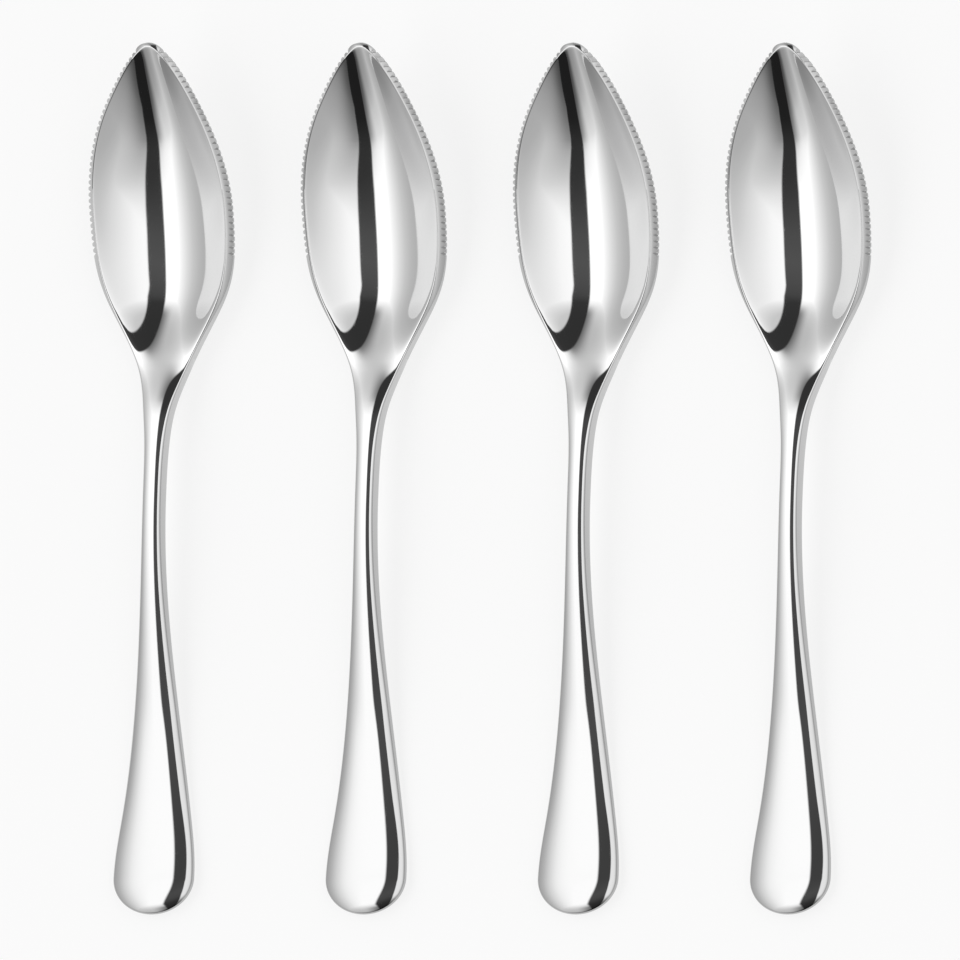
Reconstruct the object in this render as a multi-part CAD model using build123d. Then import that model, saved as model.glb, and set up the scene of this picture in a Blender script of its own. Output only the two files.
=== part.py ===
from build123d import *
import math
import os

# A set of four grapefruit spoons, lying side by side on a table with the bowls open upwards.
# Each spoon is one forged piece: a leaf-shaped bowl with a toothed rim, a slim neck and a
# drop-shaped handle. Millimetres, +Z up, tips of the bowls towards +Y.
# Places along a spoon are measured from the tip of the bowl towards the end of the handle.

# The set
SPOON_COUNT = 4
SPOON_GAP = 14.2

# Plan outline: places along the spoon and full widths there
SPOON_LENGTH = 165.0
TIP_RADIUS = 3.4
TIP_TURN = 45.0
BOWL_CURVE_PLACE = 10.8
BOWL_CURVE_WIDTH = 18.8
BOWL_WIDE_PLACE = 31.5
BOWL_WIDTH = 29.9
BOWL_END_PLACE = 48.6
BOWL_END_WIDTH = 23.8
HEEL_PLACE = 60.0
HEEL_WIDTH = 11.3
THROAT_PLACE = 71.3
THROAT_WIDTH = 5.2
NECK_PLACE = 86.0
NECK_WIDTH = 4.0
STEM_FROM_END = 41.0
STEM_WIDTH = 8.4
SWELL_FROM_END = 18.0
SWELL_WIDTH = 14.4
END_DEPTH = 7.0
HANDLE_WIDTH = 16.6

# Side profile: heights above the table of the upper face, in its middle and at its edges
TIP_HEIGHT = 18.2
BOWL_SLOPE_PLACE = 18.5
BOWL_SLOPE_HEIGHT = 6.7
BOWL_FLOOR_PLACE = 46.0
RIM_CURVE_HEIGHT = 16.8
RIM_HEIGHT = 10.9
RIM_END_HEIGHT = 6.9
HEEL_HEIGHT = 5.6
THROAT_HEIGHT = 8.6
NECK_HEIGHT = 9.1
HANDLE_REST_FROM_END = 19.0
END_LIFT = 1.2
NECK_CROWN = 0.65
HANDLE_CROWN = 1.45

# Thickness in the middle, and height of the side wall at the outline
BOWL_WALL = 1.4
HEEL_THICKNESS = 3.2
NECK_THICKNESS = 4.4
HANDLE_THICKNESS = 3.0
RIM_WALL = 2.7
NECK_WALL = 2.4
HANDLE_WALL = 1.0

# How late a section rises towards its edges: 0 is a plain parabola, below 0 it rises early
BOWL_FULLNESS = -0.1
BOWL_END_FULLNESS = -0.2
NECK_FULLNESS = 1.2
HANDLE_FULLNESS = 4.0

# Rim of the bowl: a shoulder that slopes outwards from a sharp inner line
SHOULDER_SLOPE = 30.0
SHOULDER_CUT = 2.15
TIP_SHOULDER_CUT = 0.8

# Teeth: V grooves across the shoulder, on both sides of a plain tip
TOOTH_PITCH = 1.17
TOOTH_FLAT = 0.12
TOOTH_REACH = 0.8
TOOTH_LEAN = 72.0
TOOTH_START = 1.0
TOOTH_END = 40.5

# Room that the cutting shapes have round the spoon, and the places of their sections
SKIN_MARGIN = 1.5
SKIN_REACH = 40.0
SECTION_STEP = 5.0
END_STEP = 1.5
SHOULDER_MARGIN = 1.0
SHOULDER_RUNOUT = 6.0
SHOULDER_SECTIONS = 21
TIP_CROWDING = 1.7

# Places that are measured from the end of the handle
STEM_PLACE = SPOON_LENGTH - STEM_FROM_END
SWELL_PLACE = SPOON_LENGTH - SWELL_FROM_END
HANDLE_REST_PLACE = SPOON_LENGTH - HANDLE_REST_FROM_END
HANDLE_WIDE_PLACE = SPOON_LENGTH - END_DEPTH


def end_slope(near_step, far_step, near_rise, far_rise):
    """Slope at an end of a flow, from the two steps beside it, or level where that would turn it back."""
    slope = ((2 * near_step + far_step) * near_rise - near_step * far_rise) / (near_step + far_step)
    return slope if slope * near_rise > 0 else 0.0


def flow(places, values):
    """Smooth curve through values at places along the spoon, which never overshoots them."""
    steps = [b - a for a, b in zip(places, places[1:])]
    rises = [(b - a) / step for a, b, step in zip(values, values[1:], steps)]
    slopes = [end_slope(steps[0], steps[1], rises[0], rises[1])]
    for before, after, left, right in zip(rises, rises[1:], steps, steps[1:]):
        turning = before * after <= 0
        weight = left + 2 * right, 2 * left + right
        slopes.append(0.0 if turning else sum(weight) / (weight[0] / before + weight[1] / after))
    slopes.append(end_slope(steps[-1], steps[-2], rises[-1], rises[-2]))

    def at(place):
        index = sum(place >= knot for knot in places[1:-1])
        step = steps[index]
        share = (place - places[index]) / step
        if share < 0:
            return values[0] + slopes[0] * (place - places[0])
        if share > 1:
            return values[-1] + slopes[-1] * (place - places[-1])
        rest = 1 - share
        ends = values[index] * (1 + 2 * share) * rest**2 + values[index + 1] * (1 + 2 * rest) * share**2
        return ends + step * share * rest * (slopes[index] * rest - slopes[index + 1] * share)

    return at


def half_outline():
    """The right half of the plan outline, from the tip to the end, as curves that join smoothly."""
    along = (0, -1)
    turn = math.radians(TIP_TURN)
    tip_corner = TIP_RADIUS * math.sin(turn), -TIP_RADIUS * (1 - math.cos(turn))
    return [
        TangentArc((0, 0), tip_corner, tangent=(1, 0)),
        Spline(
            tip_corner,
            (BOWL_CURVE_WIDTH / 2, -BOWL_CURVE_PLACE),
            (BOWL_WIDTH / 2, -BOWL_WIDE_PLACE),
            tangents=[(math.cos(turn), -math.sin(turn)), along],
        ),
        Spline(
            (BOWL_WIDTH / 2, -BOWL_WIDE_PLACE),
            (BOWL_END_WIDTH / 2, -BOWL_END_PLACE),
            (HEEL_WIDTH / 2, -HEEL_PLACE),
            (THROAT_WIDTH / 2, -THROAT_PLACE),
            (NECK_WIDTH / 2, -NECK_PLACE),
            tangents=[along, along],
        ),
        Spline(
            (NECK_WIDTH / 2, -NECK_PLACE),
            (STEM_WIDTH / 2, -STEM_PLACE),
            (SWELL_WIDTH / 2, -SWELL_PLACE),
            (HANDLE_WIDTH / 2, -HANDLE_WIDE_PLACE),
            tangents=[along, along],
        ),
        EllipticalCenterArc((0, -HANDLE_WIDE_PLACE), HANDLE_WIDTH / 2, END_DEPTH, 0, arc_size=-90),
    ]


OUTLINE = half_outline()


def half_width(place):
    """Half the width of the spoon at a place along it."""
    for curve in OUTLINE:
        if place <= -(curve @ 1).Y:
            break
    low, high = 0.0, 1.0
    for _ in range(40):
        middle = (low + high) / 2
        low, high = (middle, high) if -(curve @ middle).Y < place else (low, middle)
    return (curve @ low).X


# How the sizes change along the spoon
END_HEIGHT = HANDLE_THICKNESS + END_LIFT
middle_line = flow(
    [0, BOWL_SLOPE_PLACE, BOWL_FLOOR_PLACE, HEEL_PLACE, THROAT_PLACE, NECK_PLACE, HANDLE_REST_PLACE, SPOON_LENGTH],
    [
        TIP_HEIGHT,
        BOWL_SLOPE_HEIGHT,
        BOWL_WALL,
        HEEL_HEIGHT,
        THROAT_HEIGHT,
        NECK_HEIGHT,
        HANDLE_THICKNESS,
        END_HEIGHT,
    ],
)
edge_line = flow(
    [
        0,
        BOWL_CURVE_PLACE,
        BOWL_WIDE_PLACE,
        BOWL_END_PLACE,
        HEEL_PLACE,
        THROAT_PLACE,
        NECK_PLACE,
        HANDLE_REST_PLACE,
        SPOON_LENGTH,
    ],
    [
        TIP_HEIGHT,
        RIM_CURVE_HEIGHT,
        RIM_HEIGHT,
        RIM_END_HEIGHT,
        HEEL_HEIGHT,
        THROAT_HEIGHT - NECK_CROWN,
        NECK_HEIGHT - NECK_CROWN,
        HANDLE_THICKNESS - HANDLE_CROWN,
        END_HEIGHT - HANDLE_CROWN,
    ],
)
thickness = flow(
    [0, BOWL_FLOOR_PLACE, HEEL_PLACE, NECK_PLACE, HANDLE_REST_PLACE, SPOON_LENGTH],
    [BOWL_WALL, BOWL_WALL, HEEL_THICKNESS, NECK_THICKNESS, HANDLE_THICKNESS, HANDLE_THICKNESS],
)
side_wall = flow(
    [0, HEEL_PLACE, NECK_PLACE, HANDLE_REST_PLACE, SPOON_LENGTH],
    [RIM_WALL, RIM_WALL, NECK_WALL, HANDLE_WALL, HANDLE_WALL],
)
fullness = flow(
    [0, BOWL_WIDE_PLACE, BOWL_END_PLACE, HEEL_PLACE, NECK_PLACE, STEM_PLACE, HANDLE_REST_PLACE, SPOON_LENGTH],
    [
        BOWL_FULLNESS,
        BOWL_FULLNESS,
        BOWL_END_FULLNESS,
        BOWL_FULLNESS,
        NECK_FULLNESS,
        NECK_FULLNESS,
        HANDLE_FULLNESS,
        HANDLE_FULLNESS,
    ],
)
shoulder_cut = flow(
    [0, BOWL_CURVE_PLACE, BOWL_WIDE_PLACE, HEEL_PLACE],
    [TIP_SHOULDER_CUT, SHOULDER_CUT, SHOULDER_CUT, 0],
)


def beside_ends(place):
    """The nearest place that lies clear of the rounded tip and of the rounded end."""
    return min(max(place, TIP_RADIUS), HANDLE_WIDE_PLACE)


def face_across(place, drop_middle, drop_edge):
    """Height in the middle, and square and fourth-power terms across, of a face of the spoon.

    The face lies below the upper face by the two drops. At the tip it keeps the bend that it has
    beside the tip, and over the rounded end of the handle it is domed along the spoon as well.
    """
    beside = beside_ends(place)
    late = fullness(beside)
    rise = (edge_line(beside) - middle_line(beside) - drop_edge(beside) + drop_middle(beside)) / (1 + late)
    edge_square = half_width(beside) ** 2
    dome = (max(place - HANDLE_WIDE_PLACE, 0) / END_DEPTH) ** 2
    middle = middle_line(place) - drop_middle(place) + rise * (dome + late * dome**2)
    return middle, rise * (1 + 2 * late * dome) / edge_square, rise * late / edge_square**2


def upper_face(place):
    return face_across(place, lambda _: 0.0, lambda _: 0.0)


def lower_face(place):
    return face_across(place, thickness, side_wall)


def height(face, across):
    middle, square, fourth = face
    return middle + square * across**2 + fourth * across**4


def shoulder_face(place):
    """The crowned shoulder of the rim, which slopes down and outwards at the outline."""
    inside = max(place, 0)
    edge_square = half_width(inside) ** 2 + 2 * TIP_RADIUS * min(place, 0)
    edge_height = height(upper_face(place), half_width(inside)) - shoulder_cut(place)
    square = -math.tan(math.radians(SHOULDER_SLOPE)) / 2 / math.sqrt(edge_square + TIP_RADIUS**2)
    return edge_height - square * edge_square, square, 0.0


def skin_section(face, place, reach):
    """A section across the spoon: the face as its curved side, closed by a far straight side."""
    middle, square, fourth = face
    span = half_width(beside_ends(place)) + SKIN_MARGIN
    squares = [1, 0, -1 / 3, 0, 1]
    fourths = [1, -1, 1, -1, 1]
    points = [
        (span * (index - 2) / 2, middle + square * span**2 * a + fourth * span**4 * b)
        for index, (a, b) in enumerate(zip(squares, fourths))
    ]
    curve = Bezier(*points)
    cap = Polyline(points[-1], (span, reach), (-span, reach), points[0])
    plane = Plane(origin=(0, -place, 0), x_dir=(1, 0, 0), z_dir=(0, -1, 0))
    return plane * make_face([curve, cap])


def skin(face, places, reach):
    """The room beyond a face, above or below it, as a loft through its sections."""
    return loft([skin_section(face(place), place, reach) for place in places])


def even_places(start, end, step):
    """Even places from start to end, about a step apart, without the end itself."""
    count = math.ceil((end - start) / step)
    return [start + (end - start) * index / count for index in range(count)]


def skin_stations():
    """Places for sections of a whole face, which lie closer together over the end of the handle."""
    end = SPOON_LENGTH + SKIN_MARGIN
    body = even_places(-SKIN_MARGIN, HANDLE_WIDE_PLACE, SECTION_STEP)
    return body + even_places(HANDLE_WIDE_PLACE, end, END_STEP) + [end]


def shoulder_stations():
    """Places for sections of the shoulder, which lie closest together at the tip."""
    shares = [index / (SHOULDER_SECTIONS - 1) for index in range(SHOULDER_SECTIONS)]
    span = SHOULDER_MARGIN + HEEL_PLACE + SHOULDER_RUNOUT
    return [span * share**TIP_CROWDING - SHOULDER_MARGIN for share in shares]


def blank():
    """The plan outline of the whole spoon as a flat face."""
    half = Curve() + OUTLINE
    return make_face(half + mirror(half, Plane.YZ))


def tooth_cutter(point, tangent):
    """A V groove across the shoulder, from near the inner line of the rim down through the wall."""
    outward = Vector(-tangent.Y, tangent.X, 0)
    lean = math.radians(TOOTH_LEAN)
    start = point - outward * TOOTH_REACH
    start += Vector(0, 0, height(shoulder_face(-start.Y), start.X))
    axis = outward * math.cos(lean) - Vector(0, 0, math.sin(lean))
    open_depth = TOOTH_REACH * math.sin(lean)
    half_open = (TOOTH_PITCH - TOOTH_FLAT) / 2
    overrun = RIM_WALL
    plane = Plane(origin=start - axis * overrun, x_dir=tangent, z_dir=axis)
    groove = make_face(Polyline((0, 0), (half_open, -open_depth), (-half_open, -open_depth), close=True))
    return extrude(plane * groove, overrun + RIM_WALL + overrun)


def tooth_cutters():
    """The grooves of the right side, at even steps along the outline, and of the left side."""
    rim = Wire(OUTLINE[:3])
    steps = int(rim.length / TOOTH_PITCH)
    shares = [index * TOOTH_PITCH / rim.length for index in range(steps)]
    places = [share for share in shares if TOOTH_START <= -(rim @ share).Y <= TOOTH_END]
    right = [tooth_cutter(rim @ share, rim % share) for share in places]
    return right + [mirror(cutter, Plane.YZ) for cutter in right]


def make_spoon():
    """One spoon with the tip of its bowl at Y 0, lying on the table."""
    whole = skin_stations()
    body = extrude(blank(), SKIN_REACH, both=True)
    body -= skin(upper_face, whole, SKIN_REACH)
    body -= skin(lower_face, whole, -SKIN_REACH)
    body -= skin(shoulder_face, shoulder_stations(), SKIN_REACH)
    body -= tooth_cutters()
    return Pos(0, 0, -body.bounding_box().min.Z) * body.solid()


# The set stands centred on the origin, with the first spoon at the left
os.makedirs("parts", exist_ok=True)
spoon = make_spoon()
pitch = BOWL_WIDTH + SPOON_GAP
for index in range(SPOON_COUNT):
    across = (index - (SPOON_COUNT - 1) / 2) * pitch
    placed = Pos(across, SPOON_LENGTH / 2, 0) * spoon
    export_step(placed, f"parts/spoon_{index + 1}.step", write_pcurves=False)
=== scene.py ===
import math

import bmesh
import bpy
import numpy as np
from mathutils import Matrix, Vector


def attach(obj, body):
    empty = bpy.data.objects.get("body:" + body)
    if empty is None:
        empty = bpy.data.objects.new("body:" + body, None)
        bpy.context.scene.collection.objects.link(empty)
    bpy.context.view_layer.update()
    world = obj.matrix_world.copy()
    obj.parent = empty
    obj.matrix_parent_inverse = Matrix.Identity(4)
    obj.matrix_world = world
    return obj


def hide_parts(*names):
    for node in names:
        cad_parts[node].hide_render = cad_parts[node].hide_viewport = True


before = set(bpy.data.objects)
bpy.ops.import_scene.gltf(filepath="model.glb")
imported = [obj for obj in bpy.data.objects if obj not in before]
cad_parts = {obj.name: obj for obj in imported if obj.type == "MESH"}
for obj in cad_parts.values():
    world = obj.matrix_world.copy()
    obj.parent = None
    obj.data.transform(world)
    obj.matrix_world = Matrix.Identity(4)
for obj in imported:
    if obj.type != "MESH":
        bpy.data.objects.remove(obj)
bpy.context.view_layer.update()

# A set of four grapefruit spoons of polished steel, side by side on a white table.
# The shape of a spoon is worked out in millimetres, and everything else is in metres.
MM_PER_METRE = 1000

# The spoons, from left to right, and the distance from one to the next in millimetres
SPOONS = ["spoon_1", "spoon_2", "spoon_3", "spoon_4"]
PITCH = 44.1

# Plan outline in millimetres: places from the tip of the bowl, and full widths there
SPOON_LENGTH = 165.0
TIP_RADIUS = 3.4
TIP_TURN = math.radians(45.0)
BOWL_CURVE_PLACE, BOWL_CURVE_WIDTH = 10.8, 18.8
BOWL_WIDE_PLACE, BOWL_WIDTH = 31.5, 29.9
BOWL_END_PLACE, BOWL_END_WIDTH = 48.6, 23.8
HEEL_PLACE, HEEL_WIDTH = 60.0, 11.3
THROAT_PLACE, THROAT_WIDTH = 71.3, 5.2
NECK_PLACE, NECK_WIDTH = 86.0, 4.0
STEM_PLACE, STEM_WIDTH = 124.0, 8.4
SWELL_PLACE, SWELL_WIDTH = 147.0, 14.4
END_DEPTH, HANDLE_WIDTH = 7.0, 16.6
HANDLE_WIDE_PLACE = SPOON_LENGTH - END_DEPTH
HANDLE_REST_PLACE = 146.0

# Heights of the upper face, crowns, thicknesses and side walls in millimetres
TIP_HEIGHT = 18.2
BOWL_SLOPE_PLACE, BOWL_SLOPE_HEIGHT = 18.5, 6.7
BOWL_FLOOR_PLACE, BOWL_WALL = 46.0, 1.4
RIM_CURVE_HEIGHT, RIM_HEIGHT, RIM_END_HEIGHT = 16.8, 10.9, 6.9
HEEL_HEIGHT, THROAT_HEIGHT, NECK_HEIGHT = 5.6, 8.6, 9.1
HANDLE_THICKNESS, END_HEIGHT = 3.0, 4.2
NECK_CROWN, HANDLE_CROWN, END_CROWN = 0.57, 1.2, 1.48
HEEL_THICKNESS, NECK_THICKNESS = 3.2, 4.4
RIM_WALL, NECK_WALL, HANDLE_WALL = 2.7, 2.4, 1.0

# How late a section rises towards its edges: 0 is a plain parabola, below 0 it rises early
BOWL_FULLNESS, BOWL_END_FULLNESS = -0.1, -0.2
NECK_FULLNESS, STEM_FULLNESS, HANDLE_FULLNESS, END_FULLNESS = 0.95, 0.7, 9.0, 4.4

# Rim: slope of the shoulder, its depth at the outline and limits of its width
SHOULDER_SLOPE = math.tan(math.radians(44.0))
SHOULDER_CUT, TIP_SHOULDER_CUT = 2.42, 1.05
NARROWEST_RIM, WIDEST_RIM = 0.45, 2.4

# Teeth: V grooves along the rim, which stop a little short of its inner line
TOOTH_PITCH, TOOTH_FLAT, TOOTH_REACH = 1.17, 0.12, 0.8
TOOTH_LEAN = 1 / math.tan(math.radians(72.0))
TOOTH_START, TOOTH_END = 1.0, 40.5
TOOTH_CLEARANCE = 0.15
TOOTH_ROUND = 0.05
MOST_TEETH = 100

# Polish: worn radii of the rim's inner line, the outer edges and the tip, with the places or lengths
# over which they grow, and softening of the flows
RIDGE_ROUND, HEEL_RIDGE_ROUND = 0.08, 0.24
RIDGE_WEAR_END = TOOTH_END + 10
EDGE_ROUND = 0.38
EDGE_WEAR_START, EDGE_WEAR_REACH = TOOTH_END + 1, 12
TIP_ROUND, TIP_ROUND_REACH = 0.3, 1.8
SOFTENING = 1.4

# The skin lies a little inside the outline, and the bowl's rim turns into the handle's edge here
INSET = 0.01
RIM_END, RIM_FADE = 62, 7

# Rings of points beside the outline, as distances: from the rim's inner line outwards, on the underside
# of the rim, and on both sides of the handle. The last ones round the outer edge, as shares of its radius.
RIM_STEPS = (0.45, 0.24, 0.13, 0.05, -0.03, -0.11)
RING_GAP = 0.02
LOW_STEPS = (1.5, 1.3, 1.15, 1.05, 0.95, 0.9, TOOTH_REACH + RING_GAP)
HANDLE_STEPS = (0.8, 0.55) + tuple(share * EDGE_ROUND for share in (1, 0.7, 0.45, 0.22, 0.07))
ROUND_SHARES = (0.8, 0.5, 0.25, 0.08, 0)

# How far the grinding of the rim reaches, ring by ring, from the inner line out and on the underside,
# and where it fades away
GROUND_ABOVE = (0, 0, 0, 0.6, 1, 1, 1, 1, 1, 1, 1)
GROUND_BELOW = (0, 0, 0, 0.3, 0.6, 1, 1)
GROUND_END, GROUND_FADE = HEEL_PLACE - 3, 12

# Fineness: points of the outline's curves, columns across a face, and rows along the spoon. The rows
# are spaced anew behind the heel and just before the handle's widest place.
TIP_POINTS, CURVE_POINTS, END_POINTS = 300, 2500, 600
COLUMNS = 41
TIP_ROWS, HEEL_ROWS, HANDLE_ROWS, END_ROWS = 14, 130, 110, 56
HANDLE_ROWS_PLACE, END_ROWS_PLACE = HEEL_PLACE + 8, HANDLE_WIDE_PLACE - 4
TANGENT_STEP = 0.02
RIM_HALVINGS, NOTCH_ROUNDS = 30, 12

# Joining of points that coincide, in metres, and the angle from which a corner stays sharp
WELD_DISTANCE, SPECK = 2e-6, 1e-7
SHARP_ANGLE = math.radians(32)

# Steel: brightness of the handle and the bowl, the handle's lower one being painted shade, the places along
# Y between which it changes, and how much darker and rougher the ground rim is, its darker colour being
# painted shade
HANDLE_PAINTED_SHADE_TONE, BOWL_TONE = 0.48, 0.60
PAINTED_SHADE_START, PAINTED_SHADE_END = -0.03, 0.03
GROUND_PAINTED_SHADE, GROUND_ROUGHNESS = 0.15, 0.06

# Roughness of the steel: cloudy patches from wiping, and hair-fine marks that run along and across the
# spoon. Each has the scales and detail of a noise, its range, and the roughness at both ends of that.
CLOUDS = ((60, 60, 60), 4.0, (0.3, 0.7), (0.03, 0.065))
MARKS_ALONG = ((2600, 90, 2600), 2.0, (0.62, 0.78), (0.0, 0.05))
MARKS_ACROSS = ((140, 2400, 900), 2.0, (0.66, 0.8), (0.0, 0.04))

# Room and table: strength of the light, colour and size of the table top, the height of a second ground
# for views that start below the table top, and the share of plain white in both
LIGHT_STRENGTH = 1.25
TABLE_COLOUR = (0.95, 0.95, 0.95, 1)
WHITE = (1, 1, 1, 1)
TABLE_REACH = 1.5
LOWER_HEIGHT = -0.06
TABLE_WHITE, LOWER_WHITE = 0.78, 0.97

# View: from above and a little from the right, with the spoons upright in the picture
VIEW_SIDE = math.radians(24.0)
VIEW_TILT = math.radians(4.6)
VIEW_WIDTH = 0.1823
VIEW_CENTRE = (0.00085, 0.0, 0.006)
VIEW_CLIP = 10.0


def smooth(share):
    """A share of 0 to 1 that starts and ends gently."""
    share = np.clip(share, 0, 1)
    return share * share * (3 - 2 * share)


def flow(*stops):
    """Smooth curve through stops, pairs of place and value, softened like a polished form."""
    x, y = np.array(stops, float).T
    steps = np.diff(x)
    rises = np.diff(y) / steps
    slopes = np.zeros(len(x))
    for end, near, far in ((0, 0, 1), (-1, -1, -2)):
        slope = (2 * steps[near] + steps[far]) * rises[near] - steps[near] * rises[far]
        if slope * rises[near] > 0:
            slopes[end] = slope / (steps[near] + steps[far])
    for k in range(1, len(rises)):
        before, after = rises[k - 1], rises[k]
        if before * after > 0:
            a, b = steps[k - 1] + 2 * steps[k], 2 * steps[k - 1] + steps[k]
            slopes[k] = (a + b) / (a / before + b / after)

    def exact(place):
        k = np.clip(np.searchsorted(x, place, side="right") - 1, 0, len(x) - 2)
        share = (place - x[k]) / steps[k]
        r = np.clip(share, 0, 1)
        value = y[k] * (1 + 2 * r) * (1 - r) ** 2 + y[k + 1] * (3 - 2 * r) * r**2
        value = value + steps[k] * r * (1 - r) * (slopes[k] * (1 - r) - slopes[k + 1] * r)
        before, after = np.minimum(share, 0), np.maximum(share - 1, 0)
        return value + steps[k] * (slopes[k] * before + slopes[k + 1] * after)

    def at(place):
        weights = ((-2, 1), (-1, 4), (0, 6), (1, 4), (2, 1))
        return sum(weight * exact(place + step * SOFTENING) for step, weight in weights) / 16

    return at


def curve_through(points, start, end):
    """Points of a cubic curve through the given points with the given end directions."""
    p = np.array(points, float)
    n = len(p)
    u = np.concatenate([[0], np.cumsum(np.linalg.norm(np.diff(p, axis=0), axis=1))])

    def slope_of_polynomial(indices, at):
        total = np.zeros(2)
        for i in indices:
            others = [j for j in indices if j != i]
            slope = 0.0
            for j in others:
                term = 1.0 / (u[i] - u[j])
                for k in others:
                    if k != j:
                        term *= (at - u[k]) / (u[i] - u[k])
                slope += term
            total += slope * p[i]
        return np.abs(total).sum()

    degree = 2 if n == 3 else 3
    h = np.diff(u)
    system, right = np.eye(n), np.zeros((n, 2))
    right[0] = start / np.abs(start).sum() * slope_of_polynomial(range(degree + 1), u[0])
    right[-1] = end / np.abs(end).sum() * slope_of_polynomial(range(n - degree - 1, n), u[-1])
    for i in range(1, n - 1):
        system[i, i - 1 : i + 2] = h[i], 2 * (h[i] + h[i - 1]), h[i - 1]
        right[i] = 3 * (h[i] * (p[i] - p[i - 1]) / h[i - 1] + h[i - 1] * (p[i + 1] - p[i]) / h[i])
    m = np.linalg.solve(system, right)
    t = np.linspace(0, u[-1], CURVE_POINTS)
    k = np.clip(np.searchsorted(u, t, side="right") - 1, 0, n - 2)
    r = ((t - u[k]) / h[k])[:, None]
    step = h[k][:, None]
    ends = p[k] * (1 + 2 * r) * (1 - r) ** 2 + p[k + 1] * (3 - 2 * r) * r**2
    return ends + step * r * (1 - r) * (m[k] * (1 - r) - m[k + 1] * r)


def half_outline():
    """The right half of the plan outline from tip to end, as fine points (across, along)."""
    turn = np.linspace(0, TIP_TURN, TIP_POINTS)
    tip = np.stack([TIP_RADIUS * np.sin(turn), TIP_RADIUS * (1 - np.cos(turn))], 1)
    leaving = np.array([math.cos(TIP_TURN), math.sin(TIP_TURN)])
    along = np.array([0.0, 1.0])
    wide = (BOWL_WIDTH / 2, BOWL_WIDE_PLACE)
    neck = (NECK_WIDTH / 2, NECK_PLACE)
    bowl = curve_through([tip[-1], (BOWL_CURVE_WIDTH / 2, BOWL_CURVE_PLACE), wide], leaving, along)
    heel = curve_through(
        [
            wide,
            (BOWL_END_WIDTH / 2, BOWL_END_PLACE),
            (HEEL_WIDTH / 2, HEEL_PLACE),
            (THROAT_WIDTH / 2, THROAT_PLACE),
            neck,
        ],
        along,
        along,
    )
    handle = curve_through(
        [
            neck,
            (STEM_WIDTH / 2, STEM_PLACE),
            (SWELL_WIDTH / 2, SWELL_PLACE),
            (HANDLE_WIDTH / 2, HANDLE_WIDE_PLACE),
        ],
        along,
        along,
    )
    turn = np.linspace(0, math.pi / 2, END_POINTS)
    end = np.stack([HANDLE_WIDTH / 2 * np.cos(turn), HANDLE_WIDE_PLACE + END_DEPTH * np.sin(turn)], 1)
    return np.concatenate([tip, bowl[1:], heel[1:], handle[1:], end[1:]])


OUTLINE = half_outline()
LENGTHS = np.concatenate([[0], np.cumsum(np.linalg.norm(np.diff(OUTLINE, axis=0), axis=1))])

middle_line = flow(
    (0, TIP_HEIGHT),
    (BOWL_SLOPE_PLACE, BOWL_SLOPE_HEIGHT),
    (BOWL_FLOOR_PLACE, BOWL_WALL),
    (HEEL_PLACE, HEEL_HEIGHT),
    (THROAT_PLACE, THROAT_HEIGHT),
    (NECK_PLACE, NECK_HEIGHT),
    (HANDLE_REST_PLACE, HANDLE_THICKNESS),
    (SPOON_LENGTH, END_HEIGHT),
)
edge_line = flow(
    (0, TIP_HEIGHT),
    (BOWL_CURVE_PLACE, RIM_CURVE_HEIGHT),
    (BOWL_WIDE_PLACE, RIM_HEIGHT),
    (BOWL_END_PLACE, RIM_END_HEIGHT),
    (HEEL_PLACE, HEEL_HEIGHT),
    (THROAT_PLACE, THROAT_HEIGHT - NECK_CROWN),
    (NECK_PLACE, NECK_HEIGHT - NECK_CROWN),
    (HANDLE_REST_PLACE, HANDLE_THICKNESS - HANDLE_CROWN),
    (SPOON_LENGTH, END_HEIGHT - END_CROWN),
)
thickness = flow(
    (0, BOWL_WALL),
    (BOWL_FLOOR_PLACE, BOWL_WALL),
    (HEEL_PLACE, HEEL_THICKNESS),
    (NECK_PLACE, NECK_THICKNESS),
    (HANDLE_REST_PLACE, HANDLE_THICKNESS),
    (SPOON_LENGTH, HANDLE_THICKNESS),
)
side_wall = flow(
    (0, RIM_WALL),
    (HEEL_PLACE, RIM_WALL),
    (NECK_PLACE, NECK_WALL),
    (HANDLE_REST_PLACE, HANDLE_WALL),
    (SPOON_LENGTH, HANDLE_WALL),
)
fullness = flow(
    (0, BOWL_FULLNESS),
    (BOWL_WIDE_PLACE, BOWL_FULLNESS),
    (BOWL_END_PLACE, BOWL_END_FULLNESS),
    (HEEL_PLACE, BOWL_FULLNESS),
    (NECK_PLACE, NECK_FULLNESS),
    (STEM_PLACE, STEM_FULLNESS),
    (HANDLE_REST_PLACE, HANDLE_FULLNESS),
    (SPOON_LENGTH, END_FULLNESS),
)
shoulder_cut = flow(
    (0, TIP_SHOULDER_CUT),
    (BOWL_CURVE_PLACE, SHOULDER_CUT),
    (BOWL_WIDE_PLACE, SHOULDER_CUT),
    (HEEL_PLACE, 0),
)


def half_width(place):
    return np.interp(place, OUTLINE[:, 1], OUTLINE[:, 0])


def face_height(place, across, drop_middle, drop_edge):
    """Height of a face that lies below the upper face by the two drops."""
    beside = np.clip(place, TIP_RADIUS, HANDLE_WIDE_PLACE)
    late = fullness(beside)
    rise = edge_line(beside) - middle_line(beside) - drop_edge(beside) + drop_middle(beside)
    dome = (np.maximum(place - HANDLE_WIDE_PLACE, 0) / END_DEPTH) ** 2
    out = dome + across**2 / half_width(beside) ** 2
    return middle_line(place) - drop_middle(place) + rise / (1 + late) * (out + late * out**2)


def upper_height(place, across):
    return face_height(place, across, np.zeros_like, np.zeros_like)


def lower_height(place, across):
    return face_height(place, across, thickness, side_wall)


def shoulder_height(place, across):
    """Height of the surface that slopes outwards along the rim."""
    edge = half_width(np.maximum(place, 0))
    square = edge**2 + 2 * TIP_RADIUS * np.minimum(place, 0)
    bend = SHOULDER_SLOPE / 2 / np.sqrt(square + TIP_RADIUS**2)
    return upper_height(place, edge) - shoulder_cut(place) + bend * (square - across**2)


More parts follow.
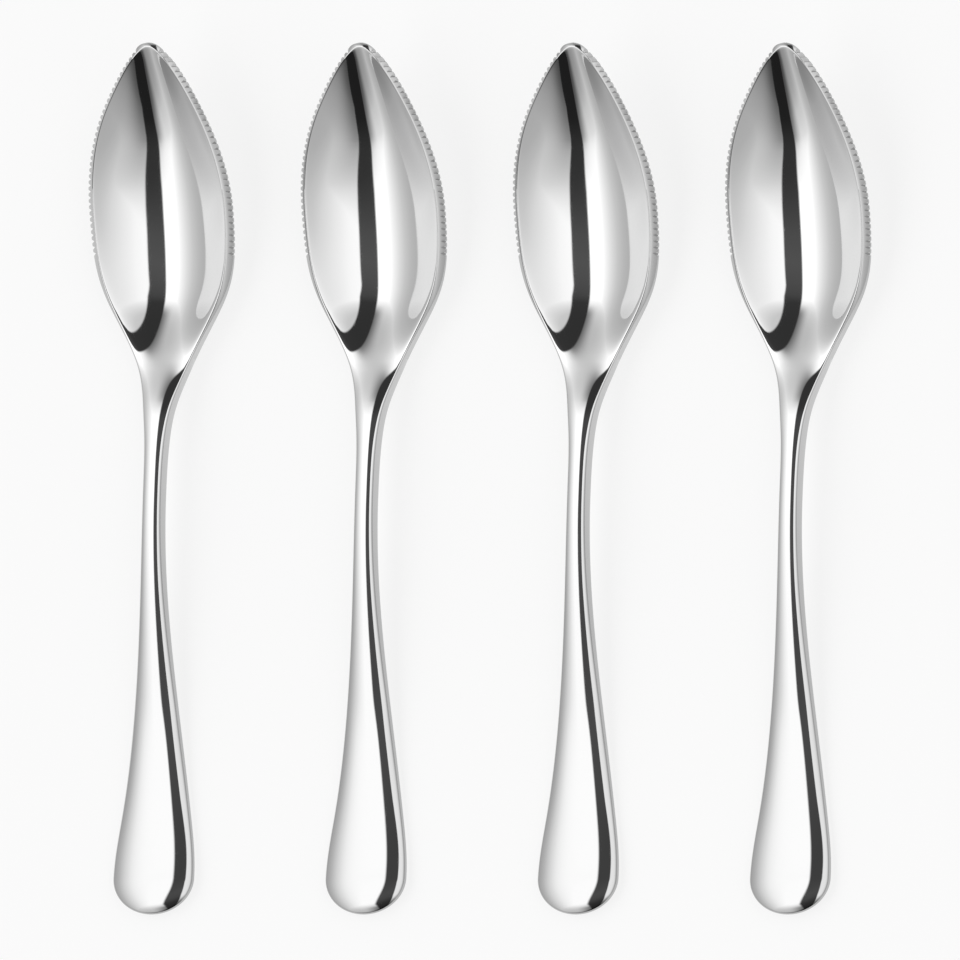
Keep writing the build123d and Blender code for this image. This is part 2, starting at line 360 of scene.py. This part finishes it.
def top_height(place, across):
    """Height of the upper side, where the face and the shoulder meet in a worn line."""
    face, shoulder = upper_height(place, across), shoulder_height(place, across)
    ends = [TOOTH_END, RIDGE_WEAR_END, HEEL_PLACE, NECK_PLACE]
    worn = np.interp(place, ends, [RIDGE_ROUND, HEEL_RIDGE_ROUND, HEEL_RIDGE_ROUND, 0])
    return (face + shoulder) / 2 - np.sqrt((face - shoulder) ** 2 / 4 + worn**2)


def row_lengths():
    """Lengths along the outline at which the mesh has rows, with all corners of the teeth."""
    half_open = (TOOTH_PITCH - TOOTH_FLAT) / 2
    top_open = half_open * (1 - TOOTH_LEAN * SHOULDER_SLOPE)
    low_drop = SHOULDER_SLOPE * TOOTH_REACH + RIM_WALL - SHOULDER_CUT
    low_open = half_open * (1 - TOOTH_LEAN * low_drop / TOOTH_REACH)
    centres = TOOTH_PITCH * np.arange(1, MOST_TEETH)
    places = np.interp(centres, LENGTHS, OUTLINE[:, 1])
    centres = centres[(places >= TOOTH_START) & (places <= TOOTH_END)]
    offsets = np.array([-top_open, -low_open, 0, low_open, top_open])
    teeth = (centres[:, None] + offsets).ravel()
    neck = np.interp(HANDLE_ROWS_PLACE, OUTLINE[:, 1], LENGTHS)
    wide = np.interp(END_ROWS_PLACE, OUTLINE[:, 1], LENGTHS)
    rows = [
        np.linspace(0, teeth[0], TIP_ROWS)[:-1],
        teeth,
        np.linspace(teeth[-1], neck, HEEL_ROWS)[1:],
        np.linspace(neck, wide, HANDLE_ROWS)[1:],
        np.linspace(wide, LENGTHS[-1], END_ROWS)[1:],
    ]
    return np.concatenate(rows), centres, half_open


def spoon_mesh():
    """One spoon as rows of points that run once round its section, and how far each point is ground."""
    lengths, centres, half_open = row_lengths()

    def outline_at(along):
        return np.stack([np.interp(along, LENGTHS, OUTLINE[:, k]) for k in (0, 1)], 1)

    edge = outline_at(lengths)
    tangent = outline_at(lengths + TANGENT_STEP) - outline_at(lengths - TANGENT_STEP)
    tangent[0] = 1, 0
    tangent[-1] = -1, 0
    tangent /= np.linalg.norm(tangent, axis=1)[:, None]
    inward = np.stack([-tangent[:, 1], tangent[:, 0]], 1)

    def point(inset):
        where = edge + inward * (inset + INSET)[:, None]
        where[0, 0] = where[-1, 0] = 0.0
        return where[:, 0], where[:, 1]

    # Width of the rim, from the outline to its inner line
    near, far = np.zeros(len(edge)), np.full(len(edge), WIDEST_RIM)
    for _ in range(RIM_HALVINGS):
        half = (near + far) / 2
        across, place = point(half)
        below = shoulder_height(place, across) < upper_height(place, across)
        near, far = np.where(below, half, near), np.where(below, far, half)
    rim = np.maximum(near, NARROWEST_RIM)

    # Share of each row that belongs to the bowl's rim, and the worn radii of its outer edges
    bowl = smooth((RIM_END - edge[:, 1]) / RIM_FADE)
    grown = smooth((edge[:, 1] - EDGE_WEAR_START) / EDGE_WEAR_REACH)
    worn_below = TOOTH_ROUND + (EDGE_ROUND - TOOTH_ROUND) * grown
    worn_above = worn_below + TIP_ROUND * np.clip(TIP_ROUND_REACH - lengths, 0, 1)

    def edge_drop(inset, radius):
        inner = np.maximum(radius - inset, 0)
        return radius - np.sqrt(np.maximum(radius**2 - inner**2, 0))

    # Depth of the teeth at the upper and lower corners of the side wall
    offset = np.abs(lengths[:, None] - centres).min(axis=1)
    depth = np.minimum(TOOTH_REACH, rim - TOOTH_CLEARANCE)
    reach = np.where(offset < half_open, depth * (1 - offset / half_open), 0)
    start = top_height(*point(depth)[::-1])

    def notch(face):
        inset = np.zeros(len(edge))
        for _ in range(NOTCH_ROUNDS):
            across, place = point(inset)
            inset = np.maximum(reach - TOOTH_LEAN * (start - face(place, across)), 0)
        return np.where(reach > 0, inset, 0)

    notch_above, notch_below = notch(top_height), notch(lower_height)

    def blend(on_rim, on_handle):
        return bowl * on_rim + (1 - bowl) * on_handle

    upper_rings = [blend(rim + a, b) for a, b in zip(RIM_STEPS, HANDLE_STEPS)]
    upper_rings += [blend(depth + RING_GAP, HANDLE_STEPS[-1])]
    upper_rings += [bowl * np.maximum(share * worn_above, notch_above) for share in ROUND_SHARES]
    lower_rings = [blend(a, b) for a, b in zip(LOW_STEPS, HANDLE_STEPS)] + [bowl * notch_below]

    columns = np.linspace(-1, 1, COLUMNS)

    def interior(inset, height):
        across, place = point(inset)
        x = across[:, None] * columns
        y = np.repeat(place[:, None], COLUMNS, 1)
        return np.stack([x, y, height(y, x)], 2)

    def strip(rings, height, sign, radius):
        loops = []
        for inset in rings:
            across, place = point(inset)
            z = height(place, across) + sign * edge_drop(inset, radius)
            loops.append(np.stack([across, place, z], 1))
        return np.stack(loops, 1)

    over = interior(upper_rings[0], top_height)
    under = interior(lower_rings[0], lower_height)[:, ::-1]
    above = strip(upper_rings[1:], top_height, -1, worn_above)
    below = strip(lower_rings[1:], lower_height, 1, worn_below)
    right = np.concatenate([above, below[:, ::-1]], 1)
    left = right[:, ::-1] * np.array([-1, 1, 1])
    loops = np.concatenate([over, right, under, left], 1)

    # The rim is ground after the polish: 1 on its shoulder and side wall, 0 on the polished faces. The
    # material makes this band rougher, and also darker as painted shade.
    fade = smooth((GROUND_END - edge[:, 1]) / GROUND_FADE)
    band = np.array(GROUND_ABOVE + GROUND_BELOW[::-1])
    polished = np.zeros(COLUMNS)
    ground = fade[:, None] * np.concatenate([polished, band, polished, band[::-1]])
    return loops, ground


def mesh_object(name, loops, ground, centre):
    """A mesh of the rows of points, placed with its middle at a distance across the table."""
    rows, count = loops.shape[:2]
    points = loops.reshape(-1, 3) * np.array([1, -1, 1]) + np.array([centre, SPOON_LENGTH / 2, 0])
    a = np.arange(rows - 1)[:, None] * count + np.arange(count)
    b = np.arange(rows - 1)[:, None] * count + (np.arange(count) + 1) % count
    faces = np.stack([a, a + count, b + count, b], 2).reshape(-1, 4)
    mesh = bpy.data.meshes.new(name)
    mesh.from_pydata((points / MM_PER_METRE).tolist(), [], faces.tolist())
    mesh.attributes.new("ground", "FLOAT", "POINT").data.foreach_set("value", ground.ravel())
    mesh.update()
    piece = bpy.data.objects.new(name, mesh)
    bpy.context.scene.collection.objects.link(piece)
    return piece


def weld(piece):
    """Joins points that coincide at the tip and at the end, and keeps only true corners sharp."""
    work = bmesh.new()
    work.from_mesh(piece.data)
    bmesh.ops.remove_doubles(work, verts=work.verts, dist=WELD_DISTANCE)
    bmesh.ops.dissolve_degenerate(work, edges=work.edges, dist=SPECK)
    bmesh.ops.recalc_face_normals(work, faces=work.faces)
    work.to_mesh(piece.data)
    work.free()
    for polygon in piece.data.polygons:
        polygon.use_smooth = True
    piece.data.set_sharp_from_angle(angle=SHARP_ANGLE)


def link(tree, start, end):
    tree.links.new(start, end)


def math_node(tree, operation, a, b):
    """A math node fed by sockets or plain numbers."""
    node = tree.nodes.new("ShaderNodeMath")
    node.operation = operation
    for socket, value in zip(node.inputs, (a, b)):
        if isinstance(value, (int, float)):
            socket.default_value = value
        else:
            link(tree, value, socket)
    return node.outputs[0]


def range_node(tree, value, a, b, c, d):
    """Maps a value from the range a to b smoothly to the range c to d."""
    node = tree.nodes.new("ShaderNodeMapRange")
    node.interpolation_type = "SMOOTHSTEP"
    for name, number in zip(("From Min", "From Max", "To Min", "To Max"), (a, b, c, d)):
        node.inputs[name].default_value = number
    link(tree, value, node.inputs["Value"])
    return node.outputs["Result"]


def ramp_node(tree, factor, stops):
    """Brightness as straight lines through stops, given as pairs of place (0 to 1) and brightness."""
    node = tree.nodes.new("ShaderNodeFloatCurve")
    curve = node.mapping.curves[0]
    top = max(grey for _, grey in stops)
    while len(curve.points) < len(stops):
        curve.points.new(0.5, 0.5)
    for dot, (place, grey) in zip(curve.points, stops):
        dot.location = place, grey / top
        dot.handle_type = "VECTOR"
    node.mapping.update()
    link(tree, factor, node.inputs["Value"])
    return math_node(tree, "MULTIPLY", node.outputs["Value"], top)


def polished_steel():
    """Steel with marks of wiping and use, with painted shade that darkens the handle and the ground rim,
    which is also rougher.
    """
    material = bpy.data.materials.new("polished_steel")
    material.use_nodes = True
    tree = material.node_tree
    shader = tree.nodes["Principled BSDF"]
    shader.inputs["Metallic"].default_value = 1.0
    place = tree.nodes.new("ShaderNodeTexCoord").outputs["Object"]

    def marks(scales, detail, span, roughness):
        stretch = tree.nodes.new("ShaderNodeMapping")
        stretch.inputs["Scale"].default_value = scales
        link(tree, place, stretch.inputs["Vector"])
        noise = tree.nodes.new("ShaderNodeTexNoise")
        noise.inputs["Scale"].default_value = 1.0
        noise.inputs["Detail"].default_value = detail
        link(tree, stretch.outputs["Vector"], noise.inputs["Vector"])
        return range_node(tree, noise.outputs["Fac"], *span, *roughness)

    split = tree.nodes.new("ShaderNodeSeparateXYZ")
    link(tree, place, split.inputs["Vector"])
    # Painted shade: the base colour darkens from the bowl towards the handle, set by place along Y
    tone_with_painted_shade = range_node(tree, split.outputs["Y"], PAINTED_SHADE_START, PAINTED_SHADE_END, HANDLE_PAINTED_SHADE_TONE, BOWL_TONE)
    attribute = tree.nodes.new("ShaderNodeAttribute")
    attribute.attribute_name = "ground"
    ground = attribute.outputs["Fac"]
    # Painted shade: the ground rim's base colour is darkened by a share; its added roughness below comes
    # from the grinding
    painted_shade_factor = math_node(tree, "SUBTRACT", 1.0, math_node(tree, "MULTIPLY", ground, GROUND_PAINTED_SHADE))
    link(tree, math_node(tree, "MULTIPLY", tone_with_painted_shade, painted_shade_factor), shader.inputs["Base Color"])
    hairs = math_node(tree, "ADD", marks(*MARKS_ALONG), marks(*MARKS_ACROSS))
    rough = math_node(tree, "ADD", marks(*CLOUDS), hairs)
    rough = math_node(tree, "ADD", rough, math_node(tree, "MULTIPLY", ground, GROUND_ROUGHNESS))
    link(tree, rough, shader.inputs["Roughness"])
    return material


def studio():
    """The light of the room by direction: bright on the left, one dark gap overhead, softer on the right."""
    world = bpy.data.worlds.new("studio")
    bpy.context.scene.world = world
    world.use_nodes = True
    tree = world.node_tree
    out = tree.nodes["Background"]
    place = tree.nodes.new("ShaderNodeTexCoord")
    split = tree.nodes.new("ShaderNodeSeparateXYZ")
    link(tree, place.outputs["Generated"], split.inputs["Vector"])
    x, y, z = split.outputs
    # Degrees from overhead to the right, and both directions as shares of 0 to 1 for the ramps
    side = math_node(tree, "MULTIPLY", math_node(tree, "ARCTAN2", x, z), 180 / math.pi)
    turn = math_node(tree, "ADD", math_node(tree, "DIVIDE", side, 180.0), 0.5)
    depth = math_node(tree, "ADD", math_node(tree, "DIVIDE", y, 2.0), 0.5)

    def by_side(*stops):
        """Brightness by degrees from -90 (left) to 90 (right)."""
        return ramp_node(tree, turn, [(degrees / 180 + 0.5, grey) for degrees, grey in stops])

    def by_depth(*stops):
        """Brightness, or degrees, by the direction's Y from -1 (handles' end) to 1 (tips' end)."""
        return ramp_node(tree, depth, [(share / 2 + 0.5, grey) for share, grey in stops])

    def dimmed(light, first, second):
        """Light less a share of it, which is the product of two factors."""
        share = math_node(tree, "MULTIPLY", first, second)
        return math_node(tree, "MULTIPLY", light, math_node(tree, "SUBTRACT", 1.0, share))

    # Left wall and ceiling: brightest overhead, falling off towards the floor and both ends
    left_wall = by_side(
        (-90, 0.49),
        (-80, 0.565),
        (-70, 0.64),
        (-60, 0.76),
        (-50, 0.95),
        (-40, 1.18),
        (-32, 1.42),
        (-24, 1.62),
        (90, 1.66),
    )
    left_cap = by_depth(
        (-1, 0.18),
        (-0.85, 0.47),
        (-0.75, 0.74),
        (-0.55, 0.96),
        (-0.45, 1.23),
        (-0.35, 1.54),
        (-0.25, 1.70),
        (0.15, 1.70),
        (0.25, 1.55),
        (0.35, 1.32),
        (0.45, 1.06),
        (0.55, 0.82),
        (0.65, 0.66),
        (0.75, 0.58),
        (1, 0.52),
    )
    left = math_node(tree, "MINIMUM", left_wall, left_cap)

    # Right wall
    right_wall = by_side(
        (-90, 1.29),
        (20, 1.29),
        (30, 1.23),
        (42, 1.06),
        (50, 0.91),
        (56, 0.75),
        (62, 0.64),
        (70, 0.56),
        (90, 0.50),
    )
    right_cap = by_depth(
        (-1, 0.025),
        (-0.95, 0.075),
        (-0.85, 0.25),
        (-0.75, 0.44),
        (-0.55, 0.76),
        (-0.45, 0.89),
        (-0.35, 1.17),
        (-0.25, 1.35),
        (0.35, 1.30),
        (0.45, 1.02),
        (0.55, 0.76),
        (1, 0.70),
    )
    right = math_node(tree, "MINIMUM", right_wall, right_cap)

    # The dark gap overhead: its brightness, and the degrees of its right edge, which moves outwards
    # towards both ends of the room
    dark = by_depth(
        (-1, 0.015),
        (-0.75, 0.018),
        (-0.45, 0.043),
        (-0.25, 0.092),
        (-0.1, 0.105),
        (0.25, 0.074),
        (0.4, 0.043),
        (0.68, 0.037),
        (0.76, 0.45),
        (1, 0.45),
    )
    right_edge = by_depth(
        (-1, 90.0),
        (-0.9, 57.0),
        (-0.8, 36.0),
        (-0.7, 28.5),
        (-0.6, 23.0),
        (-0.5, 19.5),
        (-0.4, 17.6),
        (-0.25, 16.8),
        (0.1, 17.0),
        (0.3, 20.0),
        (1, 21.0),
    )
    beyond = math_node(tree, "MAXIMUM", math_node(tree, "SUBTRACT", -0.4, y), 0.0)
    left_edge = math_node(tree, "ADD", math_node(tree, "MULTIPLY", beyond, 30.0), -9.0)
    past_right = math_node(tree, "SUBTRACT", side, right_edge)
    past_left = math_node(tree, "SUBTRACT", side, left_edge)
    from_right = range_node(tree, past_right, -1.5, 1.5, 0.0, 1.0)
    from_left = range_node(tree, past_left, -2.5, 2.0, 1.0, 0.0)

    # Both walls are dimmer beside the gap at the ends of the room
    handles_end = range_node(tree, y, -0.4, -0.6, 0.0, 1.0)
    tips_end = range_node(tree, y, 0.40, 0.60, 0.0, 1.0)
    right = dimmed(right, handles_end, range_node(tree, past_right, 0.0, 40.0, 0.55, 0.0))
    left = dimmed(left, handles_end, range_node(tree, side, -28.0, 2.0, 0.0, 0.75))
    left = dimmed(left, tips_end, range_node(tree, side, -34.0, -4.0, 0.0, 0.8))

    left = math_node(tree, "MULTIPLY", left, from_left)
    right = math_node(tree, "MULTIPLY", right, from_right)
    light = math_node(tree, "MAXIMUM", math_node(tree, "ADD", left, right), dark)
    # The room is dark low down at the tips' end
    light = math_node(tree, "MULTIPLY", light, range_node(tree, y, 0.86, 0.94, 1.0, 0.1))
    link(tree, light, out.inputs["Color"])
    out.inputs["Strength"].default_value = LIGHT_STRENGTH


def camera():
    """The main view, without perspective."""
    side, tilt = VIEW_SIDE, VIEW_TILT
    away = Vector((math.sin(side), -math.cos(side) * math.sin(tilt), math.cos(side) * math.cos(tilt)))
    up = Vector((0, math.cos(tilt), math.sin(tilt)))
    right = up.cross(away)
    data = bpy.data.cameras.new("camera")
    data.type = "ORTHO"
    data.ortho_scale = VIEW_WIDTH
    data.clip_end = VIEW_CLIP
    view = bpy.data.objects.new("camera", data)
    bpy.context.scene.collection.objects.link(view)
    turn = Matrix((right, up, away)).transposed().to_4x4()
    view.matrix_world = Matrix.Translation(Vector(VIEW_CENTRE) + away) @ turn
    bpy.context.scene.camera = view


def pale_ground(name, own_white):
    """A pale material that shows a share of plain white to the camera, to metal and to glass."""
    material = bpy.data.materials.new(name)
    material.use_nodes = True
    tree = material.node_tree
    shader = tree.nodes["Principled BSDF"]
    shader.inputs["Base Color"].default_value = TABLE_COLOUR
    shader.inputs["Roughness"].default_value = 1.0
    shader.inputs["Specular IOR Level"].default_value = 0.0
    glow = tree.nodes.new("ShaderNodeEmission")
    glow.inputs["Color"].default_value = WHITE
    path = tree.nodes.new("ShaderNodeLightPath").outputs
    seen = math_node(tree, "MAXIMUM", path["Is Camera Ray"], path["Is Transmission Ray"])
    seen = math_node(tree, "MAXIMUM", seen, path["Is Glossy Ray"])
    mix = tree.nodes.new("ShaderNodeMixShader")
    link(tree, math_node(tree, "MULTIPLY", seen, own_white), mix.inputs["Fac"])
    link(tree, shader.outputs["BSDF"], mix.inputs[1])
    link(tree, glow.outputs["Emission"], mix.inputs[2])
    link(tree, mix.outputs["Shader"], tree.nodes["Material Output"].inputs["Surface"])
    return material


def floor():
    """The table top, with a second ground below it for views that start under the table's height."""
    mesh = bpy.data.meshes.new("floor")
    reach = TABLE_REACH
    corners = [(-reach, -reach), (reach, -reach), (reach, reach), (-reach, reach)]
    points = [(x, y, z) for z in (0, LOWER_HEIGHT) for x, y in corners]
    mesh.from_pydata(points, [], [(0, 1, 2, 3), (4, 5, 6, 7)])
    ground = bpy.data.objects.new("floor", mesh)
    bpy.context.scene.collection.objects.link(ground)
    mesh.materials.append(pale_ground("floor", TABLE_WHITE))
    mesh.materials.append(pale_ground("floor_below", LOWER_WHITE))
    mesh.polygons[1].material_index = 1


steel = polished_steel()
loops, ground = spoon_mesh()
for number, name in enumerate(SPOONS):
    centre = (number - (len(SPOONS) - 1) / 2) * PITCH
    piece = mesh_object(name + "_polished", loops, ground, centre)
    weld(piece)
    piece.data.materials.append(steel)
    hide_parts(name)
    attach(piece, name)

studio()
floor()
camera()
bpy.context.scene.view_settings.view_transform = "Standard"
